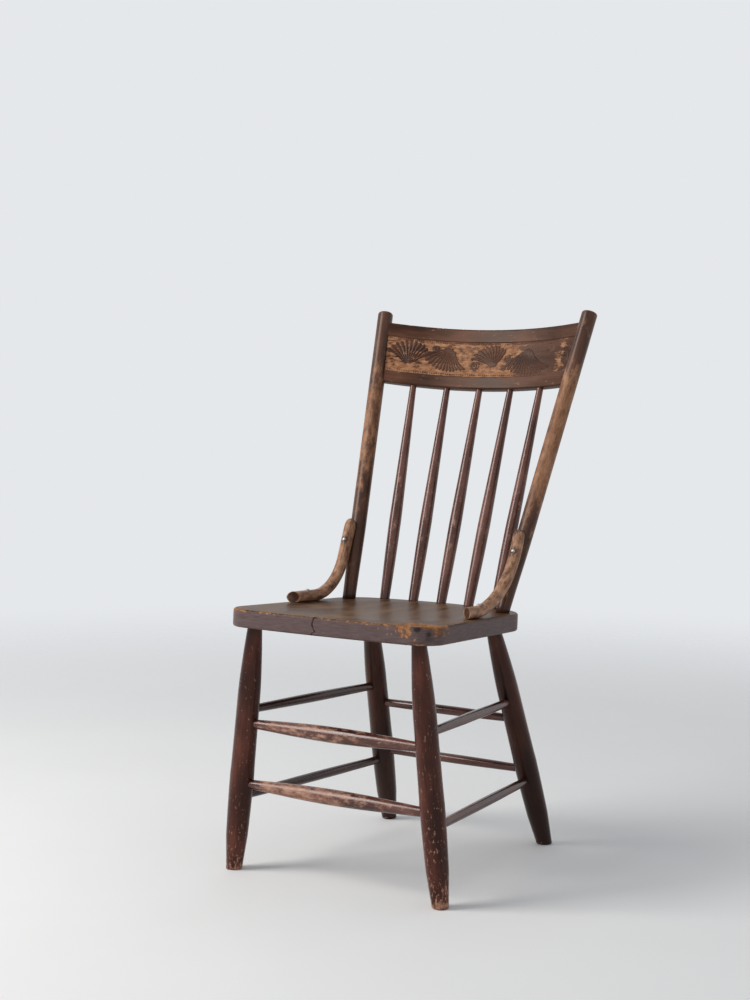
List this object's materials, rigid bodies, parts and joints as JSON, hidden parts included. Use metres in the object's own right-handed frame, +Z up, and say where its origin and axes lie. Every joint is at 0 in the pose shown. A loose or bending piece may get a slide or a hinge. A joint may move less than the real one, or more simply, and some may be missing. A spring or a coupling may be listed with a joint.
{
  "type": "spindle back kitchen chair",
  "caption": "Plank-seated wooden side chair with turned legs and stretchers, a leaning spindle back, bent braces and a pressed crest rail with a worn dark finish.",
  "frame": {"origin": "on the floor, under the centre of the chair's bounding box", "axes": "+Z up, -Y towards the front edge of the seat, +X to the left hand of a person sitting in it"},
  "size_m": [0.4462, 0.5643, 0.9464],
  "materials": {
    "turned_finish": "dark red-brown stain, satin, worn to bare wood in places",
    "seat_top_finish": "olive brown varnish with a worn front edge",
    "crest_finish": "dark brown finish rubbed to tan wood round the pressed ornament",
    "post_finish": "dark brown finish worn to tan wood at mid-height",
    "brace_finish": "worn brown finish over tan wood",
    "screw_steel": "rubbed bright steel"
  },
  "bodies": {
    "root": {"seat": "seat_top_finish", "front_leg_left": "turned_finish", "front_leg_right": "turned_finish", "rear_leg_left": "turned_finish", "rear_leg_right": "turned_finish", "front_stretcher_upper": "turned_finish", "front_stretcher_lower": "turned_finish", "rear_stretcher_upper": "turned_finish", "rear_stretcher_lower": "turned_finish", "side_stretcher_left_upper": "turned_finish", "side_stretcher_left_lower": "turned_finish", "side_stretcher_right_upper": "turned_finish", "side_stretcher_right_lower": "turned_finish", "back_post_left": "post_finish", "back_post_right": "post_finish", "crest_rail": "crest_finish", "spindle_1": "turned_finish", "spindle_2": "turned_finish", "spindle_3": "turned_finish", "spindle_4": "turned_finish", "spindle_5": "turned_finish", "brace_left": "brace_finish", "brace_right": "brace_finish", "brace_post_screw_left": "screw_steel", "brace_post_screw_right": "screw_steel", "brace_seat_screw_left": "screw_steel", "brace_seat_screw_right": "screw_steel"}
  },
  "joints": []
}
